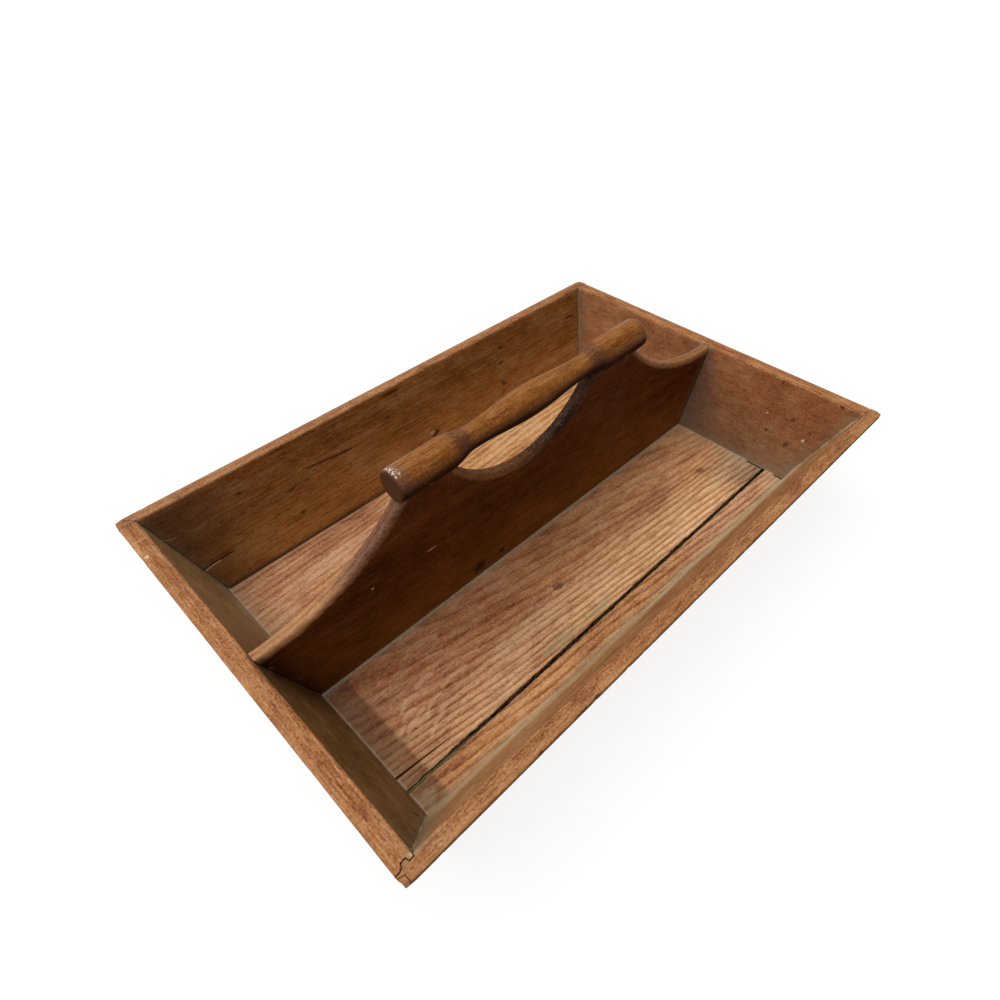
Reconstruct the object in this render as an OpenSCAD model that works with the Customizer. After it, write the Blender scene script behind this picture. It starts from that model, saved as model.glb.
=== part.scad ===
// Open cutlery tray with four leaning sides, dovetailed at the corners, on a nailed board floor.
// A lengthwise divider is hollowed to a cove at each end and pierced under a turned handle.
// X runs along the handle, the front long board is at -Y, and the tray stands on Z = 0.

/* [Tray] */
// Outside length at the rim
rim_l = 380; // [330:1:440]
// Outside width at the rim
rim_w = 250; // [200:1:300]
// Height of the rim above the table
rim_h = 65; // [55:1:80]
// Lean of the two short ends from upright, in degrees
end_splay = 21.9; // [5:0.1:28]
// Lean of the two long sides from upright, in degrees
side_splay = 24.5; // [5:0.1:28]
// Thickness of the short end boards
end_t = 9.4; // [7:0.1:12]
// Thickness of the long side boards
side_t = 7.7; // [6:0.1:10]
// Round worn on the rim's edges
rim_round = 1.2; // [0.4:0.1:2]

/* [Floor] */
// Thickness of the floor boards
floor_t = 8.8; // [7:0.1:11]
// Width of the narrow front floor board
narrow_board_w = 23.5; // [16:0.5:40]
// Open gap between the two floor boards
floor_gap = 1.6; // [0.4:0.1:3]
// Length of the split in the wide floor board, from its left end
split_l = 44; // [20:1:80]
// Width of the split at the board's end
split_w = 1.5; // [0.5:0.1:3]
// Distance of the split from the gap, at the board's end
split_in = 9; // [5:0.5:20]
// Distance of the split's closed end from the gap
split_tip_in = 5.6; // [3:0.1:20]

/* [Corner dovetails] */
// Number of whole pins at each corner, besides the half pins at top and bottom
pin_count = 2; // [1:1:3]
// Width of a pin at its root, on the inner face of the long board
pin_w = 8.6; // [6:0.1:11]
// Slope of a pin's cheeks, in degrees
pin_slope = 9; // [4:1:14]

/* [Divider] */
// Thickness of the divider
divider_t = 7.6; // [5:0.1:9]
// Place of the divider from the tray's middle, towards the rear
divider_y = -2.3; // [-20:0.1:20]
// Length of the level land at each end of the divider, at the rim
land_l = 1.5; // [0.5:0.5:15]
// Round worn on the divider's upper edges
divider_round = 2.3; // [0.5:0.1:2.4]
// Depth of the stopped housing in each end board
housing_depth = 2.6; // [1:0.1:4]
// Distance of the housing's stopped end below the rim
housing_stop = 12; // [8:1:30]

/* [Handle] */
// Length of the turned handle
handle_l = 183; // [170:1:220]
// Place of the handle's middle from the tray's, towards the right end
handle_x = -2; // [-6:0.5:6]
// Height of the handle's axis above the rim, at its middle
handle_up = 47.5; // [42:0.5:62]
// Rise of the handle towards the right end, in degrees
handle_tilt = 0.8; // [0:0.1:2]
// Length of the grip between the two barrels
grip_l = 108; // [90:1:120]
// Distance of each neck from its barrel
neck_back = 12; // [4:0.5:16]
// Length of the curved shoulder at each barrel's inner end
shoulder_l = 5.5; // [2:0.5:10]
// Thickness of the grip at its middle
grip_d = 17.4; // [14:0.1:22]
// Thickness of the two necks
neck_d = 12.7; // [10:0.1:14]
// Thickness of the two barrels
barrel_d = 18.2; // [16:0.1:24]
// Round on each barrel's outer edge
barrel_round = 2; // [0.5:0.1:3]
// Distance from a barrel's outer end to the divider's shoulder
shoulder_in = 1.5; // [1:0.5:8]

/* [Finger opening] */
// Width of the opening, under the barrels
finger_w = 101; // [90:1:104]
// Place of the opening's middle from the tray's, towards the right end
finger_x = -6; // [-8:0.5:6]
// Clear height for the fingers, under the middle of the grip
finger_room = 27; // [24:0.5:36]

/* [Tenons and pegs] */
// Depth of the mortise in each barrel's underside
mortise_depth = 6.6; // [4:0.1:8]
// Distance of the tenon from the barrel's outer end
tenon_inset = 6.5; // [5:0.5:10]
// Shoulder left on each side of the tenon
tenon_side = 1.3; // [0.5:0.1:1.5]
// Thickness of the wooden pegs
peg_d = 3; // [2:0.1:4]
// Height of a peg above the barrel's underside
peg_up = 3.6; // [3:0.1:4.5]

/* [Nails] */
// Thickness of a nail's shank
nail_d = 1.9; // [1.4:0.1:2.4]
// Width of a nail's head
nail_head_d = 4.4; // [3.5:0.1:5.5]
// Thickness of a nail's head
nail_head_t = 0.9; // [0.6:0.1:1.2]
// Depth of a head below the wood's face
nail_sunk = 0.35; // [0.2:0.05:0.8]
// Length of a nail's point
nail_point = 3; // [2:0.5:5]
// Length of nail held in the board beyond
nail_hold = 9; // [7:0.5:10]
// Distance of the floor's nails from the outer edge of the board above
nail_edge = 2.9; // [2.6:0.1:3.5]
// Number of floor nails along each long side
side_nails = 6; // [4:1:9]
// Number of wide-board floor nails along each end
end_nails = 3; // [2:1:5]
// Number of floor nails in each half of the divider
foot_nails = 2; // [1:1:4]

/* [Fits] */
// Gap left all round in each wood joint
joint_gap = 0.12; // [0.05:0.01:0.3]
// Gap left all round each nail and peg
nail_gap = 0.05; // [0.02:0.01:0.1]

/* [Hidden] */
$fn = 48;

// Overrun of every cut past the wood that it cuts
over = 2;
// Steps in a quarter round
round_steps = 6;
// Steps in one sweep of the handle's profile
turn_steps = 12;

// Upright depth inside the tray, and how far the boards lean out over it
depth = rim_h - floor_t;
end_run = depth * tan(end_splay);
side_run = depth * tan(side_splay);
// Level widths of the boards' edges
end_w = end_t / cos(end_splay);
side_w = side_t / cos(side_splay);
// Inner half length and half width where the boards meet the floor
foot_x = rim_l / 2 - end_w - end_run;
foot_y = rim_w / 2 - side_w - side_run;
// Half length and half width of the floor
floor_x = foot_x + end_w;
floor_y = foot_y + side_w;
// Place of the joint between the floor boards
joint_y = narrow_board_w - floor_y;

// Height of each pin, and how much narrower a pin is at the outer face
pin_pitch = depth / (pin_count + 1);
pin_taper = side_w * tan(pin_slope);

// Handle: height of its axis and of the barrels' underside, and places along it from its middle
axis_z = rim_h + handle_up;
barrel_low = axis_z - barrel_d / 2;
grip_x = grip_l / 2;
neck_x = grip_x - neck_back;
barrel_x = grip_x + shoulder_l;
// Tenon on each shoulder of the divider, from the handle's middle and its axis
tenon_top = mortise_depth - barrel_d / 2;
tenon_from = barrel_x + shoulder_l / 2;
tenon_to = handle_l / 2 - tenon_inset;
tenon_t = divider_t - 2 * tenon_side;
peg_x = (tenon_from + tenon_to) / 2;
peg_z = peg_up - barrel_d / 2;

// Radius of the arc that is level at one end and rises over a run along X
function arc_r(run, rise) = (run * run + rise * rise) / (2 * rise);
// Coves: level at the rim, and rising to the shoulder under each barrel, at side -1 or 1
cove_x = foot_x + end_run - land_l;
function cove_run(side) = cove_x - (handle_l / 2 - shoulder_in + side * handle_x);
function cove_rise(side) = barrel_low + side * handle_l / 2 * sin(handle_tilt) - rim_h;
function cove_r(side) = arc_r(cove_run(side), cove_rise(side));
// Finger opening: lowest under the grip, and ending at the barrels' underside
finger_low = axis_z - grip_d / 2 - finger_room;
finger_r = arc_r(finger_w / 2, barrel_low - finger_low);

// Places of the nails in an end board, as shares of its height
end_nail_shares = [0.3, 0.62];
// Space between the outermost floor nail of the divider and its end, as a share of the spacing
foot_end_share = 0.5;

// Tint of each wood and of the iron
oak_brown = "#A8642F";
end_brown = "#8E5530";
pine = "#C08A5B";
dark_brown = "#4A2712";
handle_brown = "#8A5226";
peg_brown = "#9C6A3A";
iron = "#4B443F";

// Points of the round that replaces a corner, from the side of its first neighbour to the other's
function unit(v) = v / norm(v);
function corner_round(before, corner, after, r) =
    let (
        u = unit(before - corner),
        v = unit(after - corner),
        half = acos(u * v) / 2,
        centre = corner + unit(u + v) * r / sin(half),
        start = corner + u * r / tan(half) - centre,
        side = corner + v * r / tan(half) - centre,
        sweep = 180 - 2 * half
    )
    [for (i = [0:round_steps])
        centre + (start * sin(sweep * (1 - i / round_steps)) + side * sin(sweep * i / round_steps)) / sin(sweep)];

// Upright section of a leaning board: foot inner, foot outer, rim outer and rim inner
function board_corners(foot, width, run) = [
    [foot, floor_t], [foot + width, floor_t],
    [foot + width + run, rim_h], [foot + run, rim_h]
];
function board_section(foot, width, run) =
    let (c = board_corners(foot, width, run))
    concat(
        [c[0], c[1]],
        corner_round(c[1], c[2], c[3], rim_round),
        corner_round(c[2], c[3], c[0], rim_round)
    );
// The same board as a cutting zone, without rounds, and moved in and up past its edges
function board_zone(foot, width, run, gap) =
    let (lean = run / depth)
    [
        [foot - gap - lean * over, floor_t - over],
        [foot + width + over - lean * over, floor_t - over],
        [foot + width + over + run + lean * over, rim_h + over],
        [foot - gap + run + lean * over, rim_h + over]
    ];

// Plane shapes drawn in X and Z, and given a length along Y
module along_y(length) {
    translate([0, length / 2, 0])
        rotate([90, 0, 0])
            linear_extrude(length)
                children();
}

// Plane shapes drawn in Y and Z, and given a length along X
module along_x(length) {
    translate([-length / 2, 0, 0])
        rotate([90, 0, 90])
            linear_extrude(length)
                children();
}

module both_ends() {
    children();
    mirror([1, 0, 0])
        children();
}

module both_sides() {
    children();
    mirror([0, 1, 0])
        children();
}

// Space between the outer faces of the two ends, and of the two sides
module between_ends() {
    along_y(rim_w + over)
        polygon([
            [-floor_x, floor_t], [floor_x, floor_t],
            [rim_l / 2, rim_h], [-rim_l / 2, rim_h]
        ]);
}

module between_sides() {
    along_x(rim_l + over)
        polygon([
            [-floor_y, floor_t], [floor_y, floor_t],
            [rim_w / 2, rim_h], [-rim_w / 2, rim_h]
        ]);
}

// Dovetail pins of one long board, as bars along X; gap grows them for their sockets.
// A pin is widest at the long board's inner face and narrows towards the outer one.
function pin_edge(share, gap) = pin_w / 2 - pin_taper * share + gap;
function pin_side_y(share, z) = foot_y + side_w * share + (z - floor_t) * side_run / depth;
module pins(gap) {
    inner_share = -gap / side_w;
    outer_share = 1 + over / side_w;
    inner_half = pin_edge(inner_share, gap);
    outer_half = pin_edge(outer_share, gap);
    for (i = [0:pin_count + 1]) {
        z = floor_t + i * pin_pitch;
        low = i == 0 ? over : 0;
        high = i == pin_count + 1 ? over : 0;
        along_x(rim_l + over)
            polygon([
                [pin_side_y(inner_share, z - inner_half - low), z - inner_half - low],
                [pin_side_y(outer_share, z - outer_half - low), z - outer_half - low],
                [pin_side_y(outer_share, z + outer_half + high), z + outer_half + high],
                [pin_side_y(inner_share, z + inner_half + high), z + inner_half + high]
            ]);
    }
}

// One nail from the origin upwards, head down; gap grows it for its hole
module nail(reach, gap) {
    length = nail_sunk + nail_head_t + reach + nail_hold;
    sunk = gap > 0 ? -over : nail_sunk;
    rotate_extrude()
        polygon([
            [0, sunk],
            [nail_head_d / 2 + gap, sunk],
            [nail_head_d / 2 + gap, nail_sunk + nail_head_t + gap],
            [nail_d / 2 + gap, nail_sunk + nail_head_t + gap],
            [nail_d / 2 + gap, length - nail_point],
            [0, length + gap]
        ]);
}

// Length of shank between a nail's head and the far face of the board that it fixes
floor_reach = floor_t - nail_sunk - nail_head_t;
end_reach = end_t - nail_sunk - nail_head_t;

module side_nail_set(gap) {
    span = 2 * foot_x - 2 * nail_edge;
    both_sides()
        for (i = [0:side_nails - 1])
            translate([-span / 2 + span * i / (side_nails - 1), floor_y - nail_edge, 0])
                nail(floor_reach, gap);
}

module end_nail_set(gap) {
    first = joint_y + split_in * 2;
    last = foot_y - nail_edge * 2;
    both_ends() {
        for (i = [0:end_nails - 1])
            translate([floor_x - nail_edge, first + (last - first) * i / (end_nails - 1), 0])
                nail(floor_reach, gap);
        translate([floor_x - nail_edge, joint_y - floor_gap - narrow_board_w / 2 + side_w / 2, 0])
            nail(floor_reach, gap);
    }
}

module foot_nail_set(gap) {
    both_ends()
        for (i = [1:foot_nails])
            translate([foot_x * i / (foot_nails + foot_end_share), divider_y, 0])
                nail(floor_reach, gap);
}

// Nails driven square to an end board's outer face, into the end of the divider
module end_board_nail_set(gap) {
    both_ends()
        for (share = end_nail_shares)
            translate([floor_x + end_run * share, divider_y, floor_t + depth * share])
                rotate([0, end_splay - 90, 0])
                    nail(end_reach, gap);
}

module side_board() {
    difference() {
        intersection() {
            along_x(rim_l + over)
                polygon(board_section(foot_y, side_w, side_run));
            between_ends();
        }
        both_ends()
            difference() {
                along_y(rim_w + over)
                    polygon(board_zone(foot_x, end_w, end_run, joint_gap));
                pins(0);
            }
        side_nail_set(nail_gap);
    }
}

module end_board() {
    difference() {
        intersection() {
            along_y(rim_w + over)
                polygon(board_section(foot_x, end_w, end_run));
            between_sides();
        }
        both_sides()
            pins(joint_gap);
        divider_blank(joint_gap);
        end_nail_set(nail_gap);
        end_board_nail_set(nail_gap);
    }
}

module front_side() {
    color(oak_brown)
        mirror([0, 1, 0])
            side_board();
}

module rear_side() {
    color(oak_brown)
        side_board();
}

module left_end() {
    color(end_brown)
        mirror([1, 0, 0])
            end_board();
}

module right_end() {
    color(end_brown)
        end_board();
}

// A floor board between two places across the tray
module floor_board(from_y, to_y) {
    difference() {
        translate([-floor_x, from_y, 0])
            cube([2 * floor_x, to_y - from_y, floor_t]);
        side_nail_set(nail_gap);
        end_nail_set(nail_gap);
        foot_nail_set(nail_gap);
    }
}

module split() {
    mouth_y = joint_y + split_in;
    translate([0, 0, -over])
        linear_extrude(floor_t + 2 * over)
            polygon([
                [-floor_x - over, mouth_y - split_w / 2],
                [-floor_x, mouth_y - split_w / 2],
                [-floor_x + split_l, joint_y + split_tip_in],
                [-floor_x, mouth_y + split_w / 2],
                [-floor_x - over, mouth_y + split_w / 2]
            ]);
}

module wide_floor_board() {
    color(pine)
        difference() {
            floor_board(joint_y, floor_y);
            split();
        }
}

module narrow_floor_board() {
    color(pine)
        floor_board(-floor_y, joint_y - floor_gap);
}

// Divider below the rim: its ends lean as the end boards do, and its tongues reach into them
module divider_blank(gap) {
    lean = end_run / depth;
    tongue_x = (housing_depth - joint_gap + gap) / cos(end_splay);
    tongue_z = rim_h - housing_stop + gap;
    low = gap > 0 ? over : 0;
    translate([0, divider_y, 0])
        along_y(divider_t + 2 * gap)
            both_ends()
                polygon([
                    [0, floor_t - low],
                    [foot_x + tongue_x - lean * low, floor_t - low],
                    [foot_x + tongue_x + (tongue_z - floor_t) * lean, tongue_z],
                    [0, tongue_z]
                ]);
}

// Divider between its tongues and up to the handle's axis, before it is hollowed
module divider_upper() {
    lean = end_run / depth;
    translate([0, divider_y, 0])
        along_y(divider_t)
            both_ends()
                polygon([
                    [0, floor_t],
                    [foot_x - joint_gap, floor_t],
                    [foot_x + end_run - joint_gap, rim_h],
                    [cove_x, rim_h],
                    [cove_x, axis_z],
                    [0, axis_z]
                ]);
}

// Round-edged disc that hollows the divider and leaves its edges worn round
module hollow(x, z, r) {
    face = divider_t / 2;
    flat = face - divider_round;
    edge = [for (i = [0:round_steps])
        let (a = 90 * i / round_steps)
        [r + divider_round * (1 - cos(a)), flat + divider_round * sin(a)]];
    edge_back = [for (i = [round_steps:-1:0]) [edge[i][0], -edge[i][1]]];
    translate([x, divider_y, z])
        rotate([90, 0, 0])
            rotate_extrude($fn = 96)
                polygon(concat(
                    [[0, -face - over], [r + divider_round, -face - over]],
                    edge_back,
                    edge,
                    [[r + divider_round, face + over], [0, face + over]]
                ));
}

// Place of what belongs to the handle, from the handle's middle and along its tilted axis
module on_handle() {
    translate([handle_x, divider_y, axis_z])
        rotate([0, -handle_tilt, 0])
            children();
}

// Radius of the turned handle at a distance from its middle
function turned_r(x) =
    x < neck_x
        ? (neck_d + (grip_d - neck_d) * (1 + cos(180 * x / neck_x)) / 2) / 2
        : (neck_d + (barrel_d - neck_d) * (1 - cos(180 * (x - neck_x) / (barrel_x - neck_x))) / 2) / 2;

// Profile of the handle from its neck to its barrel, as radius and distance
function shoulder_profile(gap) = [
    for (i = [0:turn_steps])
        let (x = neck_x + (barrel_x - neck_x) * i / turn_steps)
        [turned_r(x) + gap, x]
];
// The same from the handle's middle to one end
turned_half = concat(
    [for (i = [0:turn_steps - 1])
        let (x = neck_x * i / turn_steps)
        [turned_r(x), x]],
    shoulder_profile(0),
    [for (i = [0:round_steps])
        let (a = 90 * i / round_steps)
        [barrel_d / 2 - barrel_round * (1 - cos(a)), handle_l / 2 - barrel_round * (1 - sin(a))]]
);

module turned() {
    other = [for (i = [len(turned_half) - 1:-1:1]) [turned_half[i][0], -turned_half[i][1]]];
    on_handle()
        rotate([0, 90, 0])
            rotate_extrude($fn = 64)
                polygon(concat([[0, -handle_l / 2]], other, turned_half, [[0, handle_l / 2]]));
}

// What is cut from the divider for the handle: a gap wider than its shoulders and barrels
module saddle() {
    on_handle()
        both_ends()
            rotate([0, 90, 0])
                rotate_extrude($fn = 64)
                    polygon(concat(
                        [[0, 0], [grip_d / 2 + joint_gap, 0]],
                        shoulder_profile(joint_gap),
                        [[barrel_d / 2 + joint_gap, handle_l / 2 + over], [0, handle_l / 2 + over]]
                    ));
}

// Tenons of the divider's shoulders; gap grows them for the mortises
module tenons(gap) {
    low = gap > 0 ? barrel_d : barrel_d / 2;
    on_handle()
        both_ends()
            translate([tenon_from - gap, -tenon_t / 2 - gap, tenon_top - low])
                cube([tenon_to - tenon_from + 2 * gap, tenon_t + 2 * gap, low + gap]);
}

module peg_bores(gap) {
    on_handle()
        both_ends()
            translate([peg_x, 0, peg_z])
                rotate([90, 0, 0])
                    cylinder(d = peg_d + 2 * gap, h = barrel_d, center = true);
}

module divider_hollowed() {
    difference() {
        union() {
            divider_blank(0);
            divider_upper();
        }
        for (side = [-1, 1])
            hollow(side * cove_x, rim_h + cove_r(side), cove_r(side));
        hollow(finger_x, finger_low + finger_r, finger_r);
        saddle();
    }
}

module divider() {
    color(dark_brown)
        difference() {
            union() {
                divider_hollowed();
                tenons(0);
            }
            peg_bores(nail_gap);
            foot_nail_set(nail_gap);
            end_board_nail_set(nail_gap);
        }
}

module handle() {
    color(handle_brown)
        difference() {
            turned();
            tenons(joint_gap);
            peg_bores(nail_gap);
        }
}

module handle_pegs() {
    color(peg_brown)
        intersection() {
            peg_bores(0);
            turned();
        }
}

module side_floor_nails() {
    color(iron)
        side_nail_set(0);
}

module end_floor_nails() {
    color(iron)
        end_nail_set(0);
}

module divider_floor_nails() {
    color(iron)
        foot_nail_set(0);
}

module divider_end_nails() {
    color(iron)
        end_board_nail_set(0);
}

front_side();
rear_side();
left_end();
right_end();
wide_floor_board();
narrow_floor_board();
divider();
handle();
handle_pegs();
side_floor_nails();
end_floor_nails();
divider_floor_nails();
divider_end_nails();
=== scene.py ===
# %% [markdown]
# # An old cutlery tray
# The tray is a shallow box of four leaning boards round a pine floor, with a board down its middle that
# rises to hold a turned carrying handle. Its shape is already made as solids. Here each wooden piece is
# copied, cut finely, worn by hand-like moves and given the finish of its own wood.
#
# We start by loading the solids.

# %% Load the solid tray
import math
import bmesh
import bpy
from mathutils import Matrix, Vector, geometry, kdtree, noise
from mathutils.bvhtree import BVHTree


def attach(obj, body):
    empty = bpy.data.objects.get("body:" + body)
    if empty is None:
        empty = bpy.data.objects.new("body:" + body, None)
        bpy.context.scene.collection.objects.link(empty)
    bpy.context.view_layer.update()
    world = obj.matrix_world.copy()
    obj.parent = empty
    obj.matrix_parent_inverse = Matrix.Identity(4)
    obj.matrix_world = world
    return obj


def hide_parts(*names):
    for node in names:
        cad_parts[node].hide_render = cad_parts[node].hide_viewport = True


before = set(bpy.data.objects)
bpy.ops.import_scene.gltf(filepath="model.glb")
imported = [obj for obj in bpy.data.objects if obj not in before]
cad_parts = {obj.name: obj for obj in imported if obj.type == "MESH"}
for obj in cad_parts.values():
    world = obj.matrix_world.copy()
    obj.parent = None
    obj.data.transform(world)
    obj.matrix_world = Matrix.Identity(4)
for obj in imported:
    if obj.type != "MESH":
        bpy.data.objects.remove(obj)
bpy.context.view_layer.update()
MM = 0.001
print("solid pieces:", ", ".join(sorted(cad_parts)))

# %% [markdown]
# ## The camera
# The photograph was taken by someone leaning over the tray's near corner with a wide lens. The camera's
# place, heading, pitch and roll were solved from the corners of the rim and the floor, so we set the camera
# with these four values and don't aim it by eye.

# %% Set the camera
CAMERA_PLACE = (-0.21421, -0.20166, 0.32801)
HEADING, PITCH, ROLL = 46.298, -44.820, -1.038
LENS, SENSOR = 24.576, 36
lens = bpy.data.cameras.new("view_from_above")
lens.lens = LENS
lens.sensor_width = SENSOR
camera = bpy.data.objects.new("view_from_above", lens)
turn = (
    Matrix.Rotation(math.radians(HEADING - 90), 4, "Z")
    @ Matrix.Rotation(math.radians(90 + PITCH), 4, "X")
    @ Matrix.Rotation(math.radians(ROLL), 4, "Z")
)
camera.matrix_world = Matrix.Translation(CAMERA_PLACE) @ turn
bpy.context.scene.collection.objects.link(camera)
bpy.context.scene.camera = camera
bpy.context.scene.view_settings.view_transform = "Standard"
print("camera looks along", [round(part, 3) for part in turn @ Vector((0, 0, -1))])

# %% [markdown]
# ## One function for every node
# A finish is a tree of nodes. Typing each node out takes three or four lines, so one small function adds a
# node, sets what is named, and joins or fills its sockets. A socket is named by its label or its number;
# the Mix node has several sockets with one label, so its colours are numbers 6 and 7 and its result is 2.
# A second function turns a colour as a screen shows it into the linear values that the nodes work with.

# %% Nodes and colours
def add(tree, kind, sockets=None, **settings):
    """Adds one node with its settings, fills or joins its sockets, and gives its outputs."""
    node = tree.nodes.new("ShaderNode" + kind)
    for name, value in settings.items():
        setattr(node, name, value)
    for socket, value in (sockets or {}).items():
        if isinstance(value, bpy.types.NodeSocket):
            tree.links.new(value, node.inputs[socket])
        else:
            node.inputs[socket].default_value = value
    return node.outputs


def linear(code):
    """Turns an sRGB hex colour into linear red, green, blue and a full alpha."""
    parts = [int(code[i:i + 2], 16) / 255 for i in (1, 3, 5)]
    return [p / 12.92 if p <= 0.04045 else ((p + 0.055) / 1.055) ** 2.4 for p in parts] + [1]


def new_tree(name):
    """Makes a material with an empty tree of nodes."""
    material = bpy.data.materials.new(name)
    material.use_nodes = True
    material.node_tree.nodes.clear()
    return material, material.node_tree


print("a mid brown in linear values:", [round(part, 3) for part in linear("#A0724A")])

# %% [markdown]
# ## The white table
# The tray was cut out on plain white. A wide white sheet does the same: it is an ordinary pale surface for
# the light, and mostly a plain white glow for the camera, which leaves only a soft shadow of the tray.

# %% Lay the white table
TABLE_HALF, TABLE_DROP = 4, 0.05
GLOW, GLOW_SHARE = 1.08, 0.8
bm = bmesh.new()
bmesh.ops.create_grid(
    bm, x_segments=1, y_segments=1, size=TABLE_HALF, matrix=Matrix.Translation((0, 0, -TABLE_DROP * MM))
)
sheet = bpy.data.meshes.new("white_table")
bm.to_mesh(sheet)
bm.free()
table = bpy.data.objects.new("white_table", sheet)
bpy.context.scene.collection.objects.link(table)
white, tree = new_tree("white_table")
path = add(tree, "LightPath")
glow_share = add(tree, "Math", {0: path["Is Camera Ray"], 1: GLOW_SHARE}, operation="MULTIPLY")[0]
matt = add(tree, "BsdfDiffuse", {"Color": linear("#F2F2F2")})["BSDF"]
glow = add(tree, "Emission", {"Color": (1, 1, 1, 1), "Strength": GLOW})["Emission"]
mixed = add(tree, "MixShader", {0: glow_share, 1: matt, 2: glow})["Shader"]
add(tree, "OutputMaterial", {"Surface": mixed})
table.data.materials.append(white)
print("the table is", 2 * TABLE_HALF, "m wide and lies", TABLE_DROP, "mm under the tray")

# %% [markdown]
# ## The light
# The photograph's light is broad and comes from above, from behind the tray and its left end: the front
# board's inner face is nearly three times as bright as the rear one's. A wide soft sun gives that and lights
# the whole table evenly, and a weak even sky fills the shadows. Together they bring a white surface to about
# full white.

# %% Hang the lamp and set the sky
SUN_STRENGTH, SUN_WIDTH, SUN_FROM, SKY = 2.33, 70.0, (-0.32, 0.38, 1.0), 0.38
lamp_data = bpy.data.lights.new("soft_sun", "SUN")
lamp_data.energy = SUN_STRENGTH
lamp_data.angle = math.radians(SUN_WIDTH)
lamp = bpy.data.objects.new("soft_sun", lamp_data)
lamp.matrix_world = Vector(SUN_FROM).to_track_quat("Z", "Y").to_matrix().to_4x4()
bpy.context.scene.collection.objects.link(lamp)
sky = bpy.data.worlds.new("even_sky")
sky.use_nodes = True
sky.node_tree.nodes.clear()
tree = sky.node_tree
path = add(tree, "LightPath")
seen = add(tree, "MapRange", {"Value": path["Is Camera Ray"], "To Min": SKY, "To Max": 1.0})[0]
backdrop = add(tree, "Background", {"Color": (1, 1, 1, 1), "Strength": seen})["Background"]
add(tree, "OutputWorld", {"Surface": backdrop})
bpy.context.scene.world = sky
print("sun of", SUN_STRENGTH, "and", SUN_WIDTH, "degrees wide, with a sky of", SKY)

# %% [markdown]
# ## What wood is made of
# Every wood here is built from the same few parts, at their real sizes:
#
# - growth rings, drawn as rings round the tree's pith, so that they run true through a board and show as
#   lines on its faces and as arcs on its end;
# - long streaks of colour, fine fibres and short dark pores, all drawn out along the grain;
# - blotches and speckle, which age and dirt add without regard to the grain.
#
# A pattern reads the place on the piece in millimetres. A flat picture of wood would be easier, but it would
# not match at the corners of a board, so each pattern is solid.

# %% Places inside the wood
RING_STEP = math.tau / 20
WANDER_WIDTH = 25.0


def in_wood(tree, turn=0.0, tilt=0.0, pith=(0.0, 0.0, 0.0)):
    """Place in millimetres from the pith; turn and tilt bring the grain to X, in degrees about Z and Y."""
    place = add(tree, "TexCoord")["Object"]
    return add(tree, "Mapping", {
        "Vector": place,
        "Location": [-part for part in pith],
        "Rotation": (0, math.radians(tilt), math.radians(turn)),
        "Scale": (1000, 1000, 1000),
    })["Vector"]


def stretched(tree, place, along, across, shift=0.0):
    """Noise with spots of a given length along the grain and width across it, in millimetres."""
    cells = add(tree, "Mapping", {
        "Vector": place,
        "Location": (shift, shift, shift),
        "Scale": (1 / along, 1 / across, 1 / across),
    })["Vector"]
    return add(tree, "TexNoise", {"Vector": cells, "Scale": 1.0, "Detail": 2.0, "Roughness": 0.55})["Fac"]


def rings(tree, place, spacing, wander, length=400.0):
    """Growth rings round X: a slow rise and a sharp fall over each year's spacing in millimetres.

    They wander from round by turns WANDER_WIDTH wide across the grain and as long along it as is given.
    """
    scale = RING_STEP / spacing
    drawn = add(tree, "Mapping", {"Vector": place, "Scale": (WANDER_WIDTH / length, 1, 1)})["Vector"]
    return add(tree, "TexWave", {
        "Vector": drawn,
        "Scale": scale,
        "Distortion": wander,
        "Detail": 2.0,
        "Detail Scale": 1 / (WANDER_WIDTH * scale),
        "Detail Roughness": 0.45,
    }, wave_type="RINGS", rings_direction="X", wave_profile="SAW")["Fac"]


print("the Wave node's rings are", round(RING_STEP, 3), "apart at a scale of 1")

# %% [markdown]
# ## Laying patterns over a colour
# A stain could be painted on a picture, but that would stretch at the board's corners. Each layer here is a
# share between two colours instead, and a pattern or the distance to a mark says how much of the second one
# shows. Marks are placed in millimetres, where the photograph has them. Their outlines get some noise,
# because nothing on old wood ends in a clean edge.

# %% Tint and relief
def tint(tree, colour, pattern, low, high, shade, strength=1.0, blend="MIX"):
    """Lays a shade over a colour where a pattern rises from low to high."""
    share = add(tree, "MapRange", {
        "Value": pattern, "From Min": low, "From Max": high, "To Max": strength,
    }, interpolation_type="SMOOTHSTEP")[0]
    shade = linear(shade) if isinstance(shade, str) else shade
    colour = linear(colour) if isinstance(colour, str) else colour
    return add(tree, "Mix", {0: share, 6: colour, 7: shade}, data_type="RGBA", blend_type=blend)[2]


def relief(tree, parts):
    """Adds up patterns, each times its height in millimetres, and gives the shader's normal."""
    height = 0.0
    for pattern, tall in parts:
        height = add(tree, "Math", {0: pattern, 1: tall, 2: height}, operation="MULTIPLY_ADD")[0]
    return add(tree, "Bump", {"Height": height, "Distance": MM})["Normal"]


print("a height of 1 in a relief stands for", MM, "m")


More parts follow.
